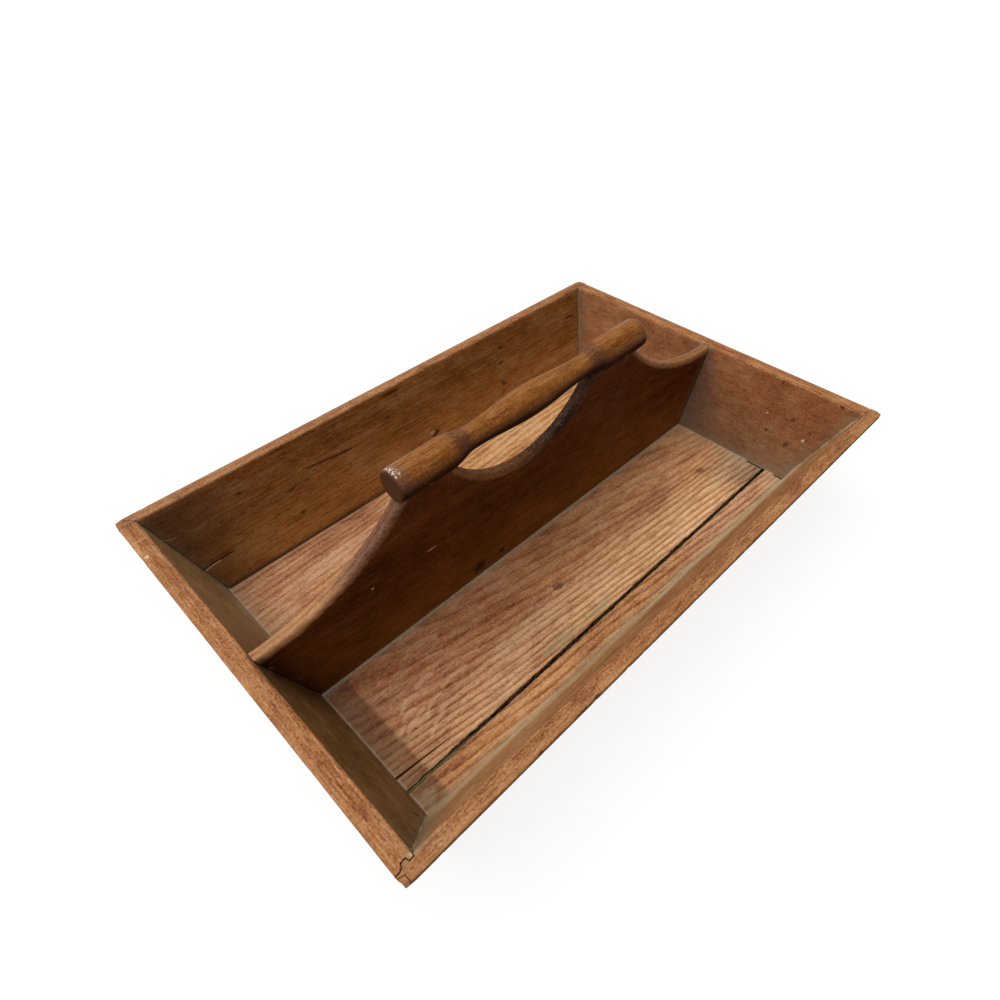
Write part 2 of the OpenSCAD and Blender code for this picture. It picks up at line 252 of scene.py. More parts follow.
# %% Spots and lines
def spot(tree, colour, place, centre, radius, shade, strength=1.0, stretch=1.0):
    """A ragged mark at a place given in millimetres; it is drawn out along X by the stretch.

    The noise is near a half, so the mark is full to about 0.6 of its radius and gone at 1.4 of it.
    """
    squeeze = (1 / stretch, 1, 1)
    here = add(tree, "VectorMath", {0: place, 1: squeeze}, operation="MULTIPLY")["Vector"]
    centre = [part * share for part, share in zip(centre, squeeze)]
    away = add(tree, "VectorMath", {0: here, 1: centre}, operation="DISTANCE")["Value"]
    edge = add(tree, "TexNoise", {"Vector": here, "Scale": 1.1, "Detail": 1.0})["Fac"]
    away = add(tree, "Math", {0: edge, 1: radius * 1.6, 2: away}, operation="MULTIPLY_ADD")[0]
    return tint(tree, colour, away, radius * 2.2, radius * 1.4, shade, strength)


def line(tree, colour, place, path, width, shade, strength=0.9, seen_along="Z"):
    """A thin line along a path in millimetres; it goes ten times as deep along the axis it is seen along."""
    flat = Vector([0.1 if axis == seen_along else 1.0 for axis in "XYZ"])
    place = add(tree, "VectorMath", {0: place, 1: flat}, operation="MULTIPLY")["Vector"]
    path = [Vector(point) * flat for point in path]
    nearest = 1000.0
    for start, end in zip(path, path[1:]):
        run = end - start
        here = add(tree, "VectorMath", {0: place, 1: start}, operation="SUBTRACT")["Vector"]
        share = add(tree, "VectorMath", {0: here, 1: run / run.length_squared}, operation="DOT_PRODUCT")["Value"]
        share = add(tree, "Clamp", {"Value": share})[0]
        foot = add(tree, "VectorMath", {0: run, 3: share}, operation="SCALE")["Vector"]
        away = add(tree, "VectorMath", {0: here, 1: foot}, operation="DISTANCE")["Value"]
        nearest = add(tree, "Math", {0: nearest, 1: away}, operation="MINIMUM")[0]
    return tint(tree, colour, nearest, width, width * 0.5, shade, strength)


print("a spot takes 6 nodes, and a line 3 and 6 more for each stretch")

# %% [markdown]
# ## The colours of the bare woods
# All boards look as if they came from a few planks, so their colours are close. Each was found by dividing a
# face's colour in the photograph by the light that falls on it here. A face that changes from one end to the
# other, or from its foot to its top, has two or three.

# %% Name the colours
SIDE_REAR_LOW, SIDE_REAR_HIGH = "#B47836", "#8A5119"
SIDE_FRONT_LOW, SIDE_FRONT_HIGH = "#DEBE93", "#A97847"
SIDE_RIM, END_RIM = "#A56F43", "#AA6F3F"
END_LEFT_FRONT, END_LEFT_REAR = "#715027", "#99764D"
END_RIGHT_REAR, END_RIGHT_REAR_HIGH = "#A46C44", "#95603A"
END_RIGHT_LOW, END_RIGHT_HIGH = "#966B49", "#8E5631"
FLOOR_STAINED_LEFT, FLOOR_STAINED_RIGHT = "#B6754A", "#E5AA75"
FLOOR_LEFT, FLOOR_BLEACHED, FLOOR_RIGHT = "#D5A375", "#F7C893", "#BE9D7A"
FLOOR_NARROW, FLOOR_NARROW_RIGHT = "#D19864", "#DCAC84"
FLOOR_REAR, FLOOR_REAR_GOLDEN = "#CC9267", "#E2AA70"
DIVIDER_LOW, DIVIDER_HIGH = "#774815", "#552705"
COVE_LEFT, COVE_NECK, COVE_RIGHT = "#C08D61", "#7C5642", "#9C6C42"
OPENING_LEFT, OPENING_RIGHT = "#7F542E", "#2E1A12"
HANDLE, HANDLE_END = "#915720", "#533220"
print("the rim's albedo:", [round(part, 3) for part in linear(SIDE_RIM)[:3]])

# %% [markdown]
# ## One recipe for wood
# The woods differ in their colours and in the sizes of their patterns, but the layers come in the same order:
# rings, long streaks, soft blotches, small patches, fibres, a fine speckle and at last the pores. A dark
# layer is multiplied in, so it keeps the hue of the wood under it. The pale ones are mixed in, and so are the
# pores, which are nearly black in any wood.
#
# Each wood has a table of its patterns. It gives the length along the grain and the width across it, both in
# millimetres, and the strength. The finest fibres are drawn a little coarser than they are, so that they show.

# %% Lay the figure over a colour
SHIFTS = {"streak": 0, "blotch": 120, "patch": 200, "fibre": 40, "speck": 160, "pore": 80}
PORE = "#2B1608"


def figured(tree, colour, wood, years, ring, figure, dark="#9A6A4C", pale="#E2B07C"):
    """Lays the wood's figure over a colour; gives the colour, and the patterns by name for relief and dust."""
    patterns = {name: stretched(tree, wood, *figure[name][:2], shift=shift) for name, shift in SHIFTS.items()}
    colour = tint(tree, colour, years, 0.35, 0.95, dark, ring, "MULTIPLY")
    for name, pattern in patterns.items():
        strength = figure[name][2]
        if name == "pore":
            colour = tint(tree, colour, pattern, 0.62, 0.72, PORE, strength)
        else:
            colour = tint(tree, colour, pattern, 0.5, 0.7, dark, strength, "MULTIPLY")
            colour = tint(tree, colour, pattern, 0.48, 0.3, pale, strength * 0.4)
    return colour, patterns


print("a figure has", len(SHIFTS), "patterns besides its rings")

# %% [markdown]
# ## What the tray's use leaves on it, and its painted shade
# Dust lies in every corner that a cloth can't reach, and a few joints have opened into gaps whose shade is
# painted as a black line; the shadows that the end boards cast are painted in the same way. Both follow the
# tray's four sets of faces, which are flat, so the distance to a face is one dot product. The boards lean,
# and each one has a twin across the tray, so the place is folded to one quarter first.
#
# Worn edges follow the piece's own shape instead. They are measured later on each piece, point by point, and
# kept in it as a number from 0 to 1 called worn. A second number called crack marks the splits.

# %% Distances to the tray's inner faces
SIDE_LEAN, END_LEAN = math.radians(24.5), math.radians(21.9)
FOOT_X, FOOT_Y, FLOOR_TOP, RIM_TOP = 157.28, 90.93, 8.8, 65.0
DIVIDER_Y, DIVIDER_HALF = -2.3, 3.8


def apart(tree, coordinate, value):
    """How far a coordinate lies from a value, to either side."""
    gap = add(tree, "Math", {0: coordinate, 1: -value}, operation="ADD")[0]
    return add(tree, "Math", {0: gap}, operation="ABSOLUTE")[0]


def in_tray(tree):
    """The place in the tray, its coordinates both ways and its distances to the inner faces, in millimetres."""
    place = in_wood(tree)
    turned = add(tree, "VectorMath", {0: place, 1: (-1, -1, -1)}, operation="MULTIPLY")["Vector"]
    ahead = add(tree, "SeparateXYZ", {"Vector": place})
    back = add(tree, "SeparateXYZ", {"Vector": turned})
    tray = {"place": place, "right": ahead["X"], "rear": ahead["Y"], "up": ahead["Z"]}
    tray.update(left=back["X"], front=back["Y"])
    folded = add(tree, "VectorMath", {0: place}, operation="ABSOLUTE")["Vector"]
    end_cos, end_sin = math.cos(END_LEAN), math.sin(END_LEAN)
    side_cos, side_sin = math.cos(SIDE_LEAN), math.sin(SIDE_LEAN)
    for name, toward, offset in (
        ("ends", (-end_cos, 0, end_sin), FOOT_X * end_cos - FLOOR_TOP * end_sin),
        ("sides", (0, -side_cos, side_sin), FOOT_Y * side_cos - FLOOR_TOP * side_sin),
        ("floor", (0, 0, 1), -FLOOR_TOP),
    ):
        along = add(tree, "VectorMath", {0: folded, 1: toward}, operation="DOT_PRODUCT")["Value"]
        tray[name] = add(tree, "Math", {0: along, 1: offset}, operation="ADD")[0]
    from_divider = apart(tree, tray["rear"], DIVIDER_Y)
    tray["divider"] = add(tree, "Math", {0: from_divider, 1: -DIVIDER_HALF}, operation="ADD")[0]
    return tray


print("the floor is", 2 * FOOT_X, "by", 2 * FOOT_Y, "mm inside")

# %% Dust, worn edges and splits
EVEN = 0.5


def dust_and_shade_layers(tree, colour, tray, own, layers):
    """Lays dust, dirt and painted shade, layer by layer, on the face called own where it comes near another one.

    A layer is the other face's name, the reach in millimetres, the strength, the colour, the pattern that
    makes its edge ragged, or EVEN, and then the ways from the tray's middle that it is kept to, if any.
    """
    inside = add(tree, "MapRange", {"Value": tray[own], "From Min": -1.6, "From Max": -0.8})[0]
    for other, reach, strength, shade, patch, *kept_to in layers:
        ragged = add(tree, "Math", {0: patch, 1: reach * 1.6, 2: -0.8 * reach}, operation="MULTIPLY_ADD")[0]
        ragged = add(tree, "Math", {0: tray[other], 1: ragged}, operation="ADD")[0]
        ragged = add(tree, "Math", {0: ragged}, operation="ABSOLUTE")[0]
        dust = add(tree, "MapRange", {"Value": ragged, "From Min": reach, "From Max": 0.0, "To Max": strength})[0]
        dust = add(tree, "Math", {0: dust, 1: inside}, operation="MULTIPLY")[0]
        for way in kept_to:
            there = add(tree, "MapRange", {"Value": tray[way], "From Min": -1, "From Max": 1})[0]
            dust = add(tree, "Math", {0: dust, 1: there}, operation="MULTIPLY")[0]
        colour = add(tree, "Mix", {0: dust, 6: colour, 7: linear(shade)}, data_type="RGBA")[2]
    return colour


def worn_here(tree, patch, raggedness):
    """How worn the piece is, from 0 to 1, moved up and down by a pattern."""
    worn = add(tree, "Attribute", attribute_name="worn")["Fac"]
    ragged = add(tree, "Math", {0: patch, 1: raggedness, 2: -raggedness / 2}, operation="MULTIPLY_ADD")[0]
    return add(tree, "Math", {0: worn, 1: ragged}, operation="ADD")[0]


def used(tree, colour, patch, pale, share):
    """Lays the worn edges and the dark splits over a colour."""
    colour = tint(tree, colour, worn_here(tree, patch, 1.2), 0.35, 0.9, pale, share)
    crack = add(tree, "Attribute", attribute_name="crack")["Fac"]
    return tint(tree, colour, crack, 0.2, 0.8, "#160C06", 0.95)


def dress(tree, colour, roughness, normal, **constants):
    """Joins a colour, a roughness and a relief to the shader; the constants go on its own sockets."""
    sockets = {"Base Color": colour, "Roughness": roughness, "Normal": normal}
    sockets.update({name.replace("_", " "): value for name, value in constants.items()})
    shader = add(tree, "BsdfPrincipled", sockets)
    add(tree, "OutputMaterial", {"Surface": shader["BSDF"]})
    print("this finish has", len(tree.nodes), "nodes")


# %% [markdown]
# ## The broken joint at the near corner
# The boards meet in dovetails. At the near corner the joint has been broken, and from above it is a stepped
# dark line with a short split beside it. The line could be cut into the mesh, but it is thinner than the
# mesh is fine, so it is painted along this path, and the seam of the boards is bent to it later.

# %% Trace the broken joint
CORNER_JOINT = [(x, y, RIM_TOP) for x, y in (
    (-179.6, -115.2), (-180, -117.7), (-182.3, -118), (-182.5, -116.1), (-185.2, -116.3),
    (-185.4, -117.5), (-186.5, -117.7), (-186.8, -118.5), (-190, -118.6),
)]
CORNER_SPLIT = [(x, y, RIM_TOP) for x, y in ((-189, -119.6), (-186.2, -120.4), (-186.2, -123.2), (-187.8, -125.2))]


def rim_edge_shade_and_joint(tree, colour, tray, outward, start, full):
    """Paints shade on the rim's outer rounding, between two distances from the middle, and draws the broken joint."""
    colour = tint(tree, colour, apart(tree, tray[outward], 0.0), start, full, "#3A2012", 0.85)
    for path in (CORNER_JOINT, CORNER_SPLIT):
        colour = line(tree, colour, tray["place"], path, 0.4, "#2E1A10", 0.72)
    return colour


print("the joint has", len(CORNER_JOINT) - 1, "straight stretches")

# %% [markdown]
# ## The waxed sides
# The long boards are an open-pored brown hardwood, planed and waxed a century ago. Inside the tray the old
# wax has gone dark and brown, a little lighter towards the foot; on the rim hands have taken it off, down to
# a mottled red-brown. We make both from one solid wood and change its colour at the rim's rounding. Old wax
# gives the eye a soft, low sheen, duller where the patches are pale.
#
# The open corner at the left of the rear board and the joint along its foot are painted black, as painted
# shade in their gaps. Everywhere else the corners hold a pale, greenish grey dust.

# %% Waxed hardwood of the sides
WAXED_INSIDE = {
    "streak": (110, 7, 0.25), "blotch": (34, 16, 0.3), "patch": (9, 5, 0.2),
    "fibre": (13, 0.9, 0.35), "speck": (1.3, 1.0, 0.3), "pore": (4.5, 0.8, 0.75),
}
side_wood, tree = new_tree("waxed_side_hardwood")
wood, tray = in_wood(tree, pith=(0, 12, -160)), in_tray(tree)
years = rings(tree, wood, 3.1, 6.0)
inner = tint(tree, SIDE_REAR_LOW, tray["up"], 18, 55, SIDE_REAR_HIGH)
inner, figure = figured(tree, inner, wood, years, 0.2, WAXED_INSIDE)
for centre, radius, stretch in (
    ((88, 111.6, 53.8), 1.1, 2.6), ((84.5, 107.2, 44.4), 1.2, 3.0), ((81, 100.8, 31.4), 1.8, 1.4),
    ((79.6, 98.2, 26.8), 1.6, 1.3), ((162.6, 109.4, 49.2), 1.1, 5.0), ((-18.1, 109.4, 49.3), 1.1, 2.0),
    ((13, 98, 25.5), 1.5, 2.5), ((-126, 110.5, 52.6), 1.0, 2.5), ((-10, 115, 62), 1.4, 6.0),
    ((-98, 105, 39.6), 1.0, 4.0), ((-86, 105, 40.2), 1.0, 3.0), ((-97, 98, 25), 1.3, 1.5), ((10, 97.8, 24), 0.9, 3.5),
):
    inner = spot(tree, inner, tray["place"], centre, radius * 0.8, "#1F1007", 0.7, stretch)
inner = spot(tree, inner, tray["place"], (9, 98.9, 26.3), 1.0, "#C8B49A", 0.7, 2.0)
scratch = [(-82, 107, 46), (-66, 106.5, 44.6), (-51, 106, 43.4)]
inner = line(tree, inner, tray["place"], scratch, 0.7, "#1F1007", 0.75, "Y")
# painted shade: the rear board's inner face darkens towards the left corner
inner = tint(tree, inner, tray["right"], -108, -168, "#3E2820", 0.6)
print("the inner faces carry", sum(node.bl_idname == "ShaderNodeMix" for node in tree.nodes), "layers")

# %% The bare rim of the sides
RIM_FIGURE = {
    "streak": (60, 5, 0.35), "blotch": (26, 12, 0.4), "patch": (9, 3, 0.25),
    "fibre": (8, 0.8, 0.55), "speck": (1.3, 1.0, 0.55), "pore": (3, 0.8, 0.3),
}
RIM_SHADES = ("#A87050", "#E8B888")
RIM_TURN = (63.7, 64.3)
bare = tint(tree, SIDE_FRONT_LOW, tray["up"], 14, 34, SIDE_FRONT_HIGH)
bare = tint(tree, bare, tray["up"], 50, 63, SIDE_RIM)
rim, rim_figure = figured(tree, bare, wood, years, 0.2, RIM_FIGURE, *RIM_SHADES)
inner = tint(tree, rim, tray["rear"], -5, 5, inner)
colour = tint(tree, inner, tray["up"], *RIM_TURN, rim)
print("the faces turn into the rim between", RIM_TURN[0], "and", RIM_TURN[1], "mm")

# %% Dust, painted shade and worn edges of the sides
WAX_ROUGH, WAX_SHINE = {"To Min": 0.45, "To Max": 0.62}, 0.12
patch = figure["patch"]
colour = dust_and_shade_layers(tree, colour, tray, "sides", (
    ("ends", 5.0, 0.45, "#6E604A", patch),
    ("ends", 14.0, 0.5, "#8E8268", patch, "front", "left"),
    ("floor", 11.0, 0.7, "#BCA482", patch, "front"),
    ("floor", 13.0, 0.6, "#DACDB2", patch, "front", "right"),
    ("floor", 2.5, 0.8, "#BDB090", patch, "front"),
    # painted shade: black in the gap along the rear board's foot and in its open left corner
    ("floor", 2.2, 1.0, "#0E0703", EVEN, "rear"),
    ("ends", 0.5, 0.9, "#120904", EVEN, "rear", "left"),
))
colour = used(tree, colour, rim_figure["patch"], "#C8935C", 0.2)
# painted shade on the rim's outer rounding, and the broken joint
colour = rim_edge_shade_and_joint(tree, colour, tray, "rear", 123.4, 124.1)
for x, y, radius, stretch in ((-84.5, -123.9, 1.1, 2.0), (-93, -124.1, 0.9, 3.0), (-119.5, -124.1, 0.9, 2.0)):
    colour = spot(tree, colour, tray["place"], (x, y, RIM_TOP), radius, "#2E2210", 0.75, stretch)
for path, width, shade, strength, seen_along in (
    ([(-163, 97.8, 24.3), (-158, 98, 24.9), (-153, 98, 25.1)], 0.35, "#C89A74", 0.8, "Y"),
    ([(-173.4, 109.4, 49.4), (-167.4, 108.7, 47.7)], 0.4, "#B08868", 0.5, "Y"),
    ([(-185.2, 121.9, RIM_TOP), (-182.5, 119.4, RIM_TOP), (-179.9, 116.5, RIM_TOP)], 0.45, "#2A180E", 0.7, "Z"),
):
    colour = line(tree, colour, tray["place"], path, width, shade, strength, seen_along)
rough = add(tree, "MapRange", {"Value": patch, **WAX_ROUGH})[0]
heights = [(figure["fibre"], 0.06), (figure["pore"], -0.08), (years, 0.02), (rim_figure["speck"], 0.05)]
dress(tree, colour, rough, relief(tree, heights), Specular_IOR_Level=WAX_SHINE)

# %% [markdown]
# ## The red-brown ends
# The short boards are the same kind of wood with its grain across the tray. Their inner faces have darkened
# unevenly in soft patches. The left one has gone olive; the right one is a warm red, with a grey bloom of dust
# beside the divider that widens towards the floor.

# %% Waxed hardwood of the ends
MOTTLED = {
    "streak": (45, 12, 0.15), "blotch": (26, 18, 0.28), "patch": (8, 7, 0.15),
    "fibre": (6, 1.4, 0.2), "speck": (1.4, 1.2, 0.3), "pore": (2.4, 1.2, 0.3),
}
end_wood, tree = new_tree("waxed_end_hardwood")
wood, tray = in_wood(tree, turn=-90, pith=(0, 30, -150)), in_tray(tree)
years = rings(tree, wood, 4.2, 6.0)
left_face = tint(tree, END_LEFT_FRONT, tray["rear"], -20, 40, END_LEFT_REAR)
right_face = tint(tree, END_RIGHT_LOW, tray["up"], 18, 50, END_RIGHT_HIGH)
rear_part = tint(tree, END_RIGHT_REAR, tray["up"], 36, 58, END_RIGHT_REAR_HIGH)
right_face = tint(tree, right_face, tray["rear"], -4, 20, rear_part)
inner = tint(tree, left_face, tray["right"], -5, 5, right_face)
inner, figure = figured(tree, inner, wood, years, 0.1, MOTTLED, dark="#96684E")
for centre, radius, shade in (
    ((166.7, -66.4, 32), 1.6, "#4A2014"), ((165.4, -82.2, 29), 2.6, "#5A2A1C"), ((179.6, -103.2, 64), 2.2, "#2A160E"),
    ((179, -63, 63), 1.2, "#3A1C10"), ((171.4, -79.5, 45), 2.2, "#5E3220"), ((170, -93, 42), 2.0, "#5E3220"),
    ((168.2, -91.2, 36), 1.5, "#E0BE9C"), ((170.6, -62.2, 42), 1.1, "#C8A080"), ((162.6, -69.8, 22), 1.2, "#A88C70"),
):
    inner = spot(tree, inner, tray["place"], centre, radius * 0.7, shade, 0.85)
rim, rim_figure = figured(tree, END_RIM, wood, years, 0.2, RIM_FIGURE, *RIM_SHADES)
colour = tint(tree, inner, tray["up"], *RIM_TURN, rim)
print("the ends carry", sum(node.bl_idname == "ShaderNodeMix" for node in tree.nodes), "layers before their dust")

# %% Dust, painted shadow and worn edges of the ends
patch = figure["patch"]
bloom = add(tree, "Math", {0: tray["up"], 1: -0.7, 2: 49.0}, operation="MULTIPLY_ADD")[0]
tray["bloom"] = add(tree, "Math", {0: tray["divider"], 1: bloom}, operation="DIVIDE")[0]
colour = dust_and_shade_layers(tree, colour, tray, "ends", (
    # painted shadow of the divider on the left end board's face in front of it
    ("divider", 22.0, 0.65, "#20120C", patch, "front", "left"),
    ("bloom", 1.0, 0.6, "#75655A", patch, "right"),
    ("floor", 16.0, 0.3, "#80685A", patch, "right"),
    ("divider", 1.0, 0.6, "#9A9076", patch, "right"),
    ("sides", 9.0, 0.5, "#7A6C54", patch),
    ("floor", 6.0, 0.45, "#8A7A62", patch),
    ("floor", 0.9, 0.8, "#A89A80", patch),
    ("sides", 0.9, 0.9, "#D2BC98", patch, "front"),
    ("floor", 18.0, 0.5, "#A89C80", patch, "rear", "left"),
    ("sides", 1.0, 0.6, "#B0A080", patch, "rear", "right"),
))
colour = used(tree, colour, rim_figure["patch"], "#CF9A64", 0.2)
# painted shade on the rim's outer rounding, and the broken joint
colour = rim_edge_shade_and_joint(tree, colour, tray, "right", 188.9, 189.5)
for centre, radius, shade in (
    ((-186.7, 87.8, RIM_TOP), 1.0, "#EBC8A6"),
    ((-163.4, -92.1, 23.9), 1.1, "#140A05"), ((-162.5, -92.7, 21.7), 0.9, "#140A05"),
):
    colour = spot(tree, colour, tray["place"], centre, radius, shade, 0.85)
scratch = [(-188.8, 101.2, RIM_TOP), (-181.4, 101.2, RIM_TOP)]
colour = line(tree, colour, tray["place"], scratch, 0.4, "#D8A880", 0.7)
rough = add(tree, "MapRange", {"Value": patch, **WAX_ROUGH})[0]
heights = [(figure["fibre"], 0.05), (figure["pore"], -0.06), (years, 0.02), (rim_figure["speck"], 0.05)]
dress(tree, colour, rough, relief(tree, heights), Specular_IOR_Level=WAX_SHINE)

# %% [markdown]
# ## The bare pine floor
# The floor is flat-sawn pine, never finished, so it is matt. Flat-sawn means that the tree's pith lay below
# the board: the rings are wide over the pith, beside the divider, and close in to straight lines towards the
# front. The pith also rises to the right, so the rings fan out that way. The summer wood of each ring is
# redder and stands a little proud after years of scrubbing.
#
# Beside the divider the pine has kept a red-brown stain; it is bleached the most before the right end. At the
# left the grain has lifted in short pale curls. The open joint and its frayed edges are painted nearly black,
# with a greenish bloom beside them.

# %% Bare pine of the floor
PLANK = {
    "streak": (90, 8, 0.35), "blotch": (50, 24, 0.4), "patch": (12, 5, 0.3),
    "fibre": (14, 0.9, 0.4), "speck": (1.5, 1.2, 0.4), "pore": (7, 0.8, 0.15),
}
floor_wood, tree = new_tree("bare_floor_pine")
wood, tray = in_wood(tree, turn=1.0, tilt=5.0, pith=(0, 6, -51)), in_tray(tree)
years = rings(tree, wood, 3.05, 10.0, length=130)
stained = tint(tree, FLOOR_STAINED_LEFT, tray["right"], -140, 140, FLOOR_STAINED_RIGHT)
bleached = tint(tree, FLOOR_LEFT, tray["right"], -90, 70, FLOOR_BLEACHED)
bleached = tint(tree, bleached, tray["right"], 110, 145, FLOOR_RIGHT)
colour = tint(tree, bleached, tray["rear"], -64, -36, stained)
narrow = tint(tree, FLOOR_NARROW, tray["right"], 20, 110, FLOOR_NARROW_RIGHT)
colour = tint(tree, narrow, tray["rear"], -78, -76, colour)
rear = tint(tree, FLOOR_REAR, tray["right"], -70, -20, FLOOR_REAR_GOLDEN)
colour = tint(tree, colour, tray["rear"], 0, 2, rear)
fainter = {"From Min": -58, "From Max": -22, "To Min": 0.78, "To Max": 0.45}
front_rings = add(tree, "MapRange", {"Value": tray["rear"], **fainter})[0]
rear_rings = add(tree, "MapRange", {"Value": tray["rear"], "From Max": 10, "To Max": 0.13})[0]
ring = add(tree, "Math", {0: front_rings, 1: rear_rings}, operation="ADD")[0]
colour, figure = figured(tree, colour, wood, years, ring, PLANK, "#AC7E58", "#F4D2A8")
patch, speck = figure["patch"], figure["speck"]
print("the pine's strength of rings runs from", fainter["To Min"], "in front to", fainter["To Max"])

# %% Lifted curls and knots in the pine
WAVER = 1.6
waver = add(tree, "TexNoise", {"Vector": tray["place"], "Scale": 0.3, "Detail": 1.0})["Color"]
waver = add(tree, "VectorMath", {0: waver, 1: (0.5, 0.5, 0.5)}, operation="SUBTRACT")["Vector"]
waver = add(tree, "VectorMath", {0: waver, 3: WAVER}, operation="SCALE")["Vector"]
wavy_place = add(tree, "VectorMath", {0: tray["place"], 1: waver}, operation="ADD")["Vector"]
for x, y, radius, shade, strength in ((-18.5, -45, 2.2, "#4A2A22", 0.7), (125.5, -46.1, 2.0, "#5A3222", 0.6)):
    colour = spot(tree, colour, tray["place"], (x, y, FLOOR_TOP), radius, shade, strength, 1.4)
for width, *path in (
    (1.5, (-103.3, -17.4), (-98, -18.4), (-93.3, -20.4)), (0.7, (-107, -27.3), (-102, -27.9), (-96, -30.2)),
    (0.9, (-120.1, -37.6), (-114.2, -35.3), (-108.7, -36.5)),
    (0.9, (-134.6, -43.5), (-128.7, -39.6), (-122.4, -40.7)),
    (1.0, (-138.3, -53.7), (-133.7, -51.5), (-126, -49.2)), (1.0, (-136.5, -47.4), (-133.3, -45.7), (-128.7, -46.2)),
    (1.6, (-132.4, -53.7), (-126, -53.3)), (0.9, (-119.6, -56.9), (-115.1, -55.5), (-107.8, -55.8)),
    (1.0, (-109.6, -46.5), (-104.2, -45.3), (-93.3, -45.7)), (0.8, (-131.5, -63.7), (-126, -59.6), (-121.5, -58.7)),
    (0.8, (-125, -52.8), (-121, -49.6), (-113.3, -48.7)), (0.9, (-144.2, -52.8), (-139.2, -50.7)),
):
    path = [(x, y, FLOOR_TOP) for x, y in path]
    colour = line(tree, colour, wavy_place, path, width * 1.5, "#E8C09A", 0.3)
print("the curls waver by up to", WAVER / 2, "mm")

# %% Shade, dust and gaps round the floor
LEANED_OVER = 143.5
# painted shadow of the left end board: a darker strip along the floor's left end, in front of the divider
shaded = add(tree, "Math", {0: tray["left"], 1: -LEANED_OVER}, operation="ADD")[0]
shaded = add(tree, "Math", {0: shaded, 1: tray["front"]}, operation="MINIMUM")[0]
colour = tint(tree, colour, shaded, -1.5, 1.5, "#A08468", 0.7, "MULTIPLY")
colour = dust_and_shade_layers(tree, colour, tray, "floor", (("ends", 20.0, 0.28, "#8E8068", patch),))
colour = spot(tree, colour, tray["place"], (-152, -85, FLOOR_TOP), 3.0, "#A89C78", 0.3, 1.6)
colour = dust_and_shade_layers(tree, colour, tray, "floor", (
    ("divider", 5.0, 0.35, "#B0A490", patch),
    ("divider", 2.2, 0.7, "#B4AA92", speck),
    ("sides", 4.0, 0.5, "#A39877", patch, "front"),
    ("sides", 3.0, 0.25, "#B7A488", patch, "rear"),
    # painted shade: black in the gap under the rear board's foot
    ("sides", 1.1, 1.0, "#120904", EVEN, "rear"),
    ("ends", 1.2, 0.5, "#B3A68E", patch),
))
for start, end in ((-65.0, -75.8), (-85.5, -90.6)):
    gap = [(156.9, start, FLOOR_TOP), (156.9, end, FLOOR_TOP)]
    colour = line(tree, colour, tray["place"], gap, 1.3, "#150C07", 0.9)
colour = used(tree, colour, patch, "#C9A27A", 0.2)
print("in front of the divider the floor's left", round(FOOT_X - LEANED_OVER, 1), "mm are a shade darker")

# %% Grime and a dark band along the open joint
JOINT_Y = -76.7
from_joint = apart(tree, tray["rear"], JOINT_Y)
grimy = add(tree, "Math", {0: patch, 1: 4.5, 2: from_joint}, operation="MULTIPLY_ADD")[0]
colour = tint(tree, colour, grimy, 4.6, 2.6, "#77704E", 0.5)
for x, y, radius in ((-46, -71, 2.6), (-12, -72, 2.2)):
    colour = spot(tree, colour, tray["place"], (x, y, FLOOR_TOP), radius, "#A39C74", 0.45, 5.0)
# a ragged, nearly black band over the open joint and its frayed edges
splinters = stretched(tree, tray["place"], 4.5, 1.0, shift=260)
ragged = add(tree, "Math", {0: splinters, 1: 3.4, 2: from_joint}, operation="MULTIPLY_ADD")[0]
colour = tint(tree, colour, ragged, 3.0, 2.3, "#1C110A", 0.9)
normal = relief(tree, [(figure["fibre"], 0.1), (years, 0.16), (speck, 0.06)])
dress(tree, colour, 0.72, normal, Specular_IOR_Level=0.1)

# %% [markdown]
# ## The dark divider
# The middle board was stained nearly black-brown. Where hands slide through the finger opening and along the
# coves, the stain has gone: the left cove is golden at its foot and a greyish pink near the handle, and the
# finger opening has a grey-brown edge. So the edge gets a wood of its own, which runs through five colours
# along the board and shows where the piece is worn.

# %% Dark stained wood of the divider
STAINED = {
    "streak": (90, 9, 0.2), "blotch": (50, 22, 0.3), "patch": (10, 5, 0.2),
    "fibre": (12, 0.9, 0.4), "speck": (1.4, 1.0, 0.5), "pore": (3, 0.8, 0.5),
}
HANDLED_EDGE = {
    "streak": (60, 5, 0.1), "blotch": (26, 12, 0.2), "patch": (9, 3, 0.25),
    "fibre": (8, 0.8, 0.3), "speck": (1.3, 1.0, 0.3), "pore": (3, 0.8, 0.1),
}
divider_wood, tree = new_tree("dark_stained_divider")
wood, tray = in_wood(tree, pith=(0, 90, -20)), in_tray(tree)
years = rings(tree, wood, 3.6, 6.0)
colour = tint(tree, DIVIDER_LOW, tray["up"], 15, 60, DIVIDER_HIGH)
colour, figure = figured(tree, colour, wood, years, 0.1, STAINED, "#80503A", "#9A6230")
patch = figure["patch"]
edge = COVE_LEFT
for start, full, shade in (
    (-150, -112, COVE_NECK), (-90, -60, OPENING_LEFT), (-30, 22, OPENING_RIGHT), (70, 100, COVE_RIGHT),
):
    edge = tint(tree, edge, tray["right"], start, full, shade)
edge = figured(tree, edge, wood, years, 0.1, HANDLED_EDGE, "#9A6440", "#C89468")[0]
colour = tint(tree, colour, worn_here(tree, patch, 0.5), 0.15, 0.95, edge)
colour = dust_and_shade_layers(tree, colour, tray, "divider", (
    # painted shade: black in the gaps at the divider's ends, and the left end board's shadow on its face
    ("ends", 0.8, 0.8, "#0E0603", EVEN),
    ("ends", 12.0, 0.7, "#0E0603", patch, "left"),
    ("ends", 9.0, 0.35, "#6F6A54", patch, "right"),
    ("floor", 2.2, 0.35, "#6F6850", patch),
))
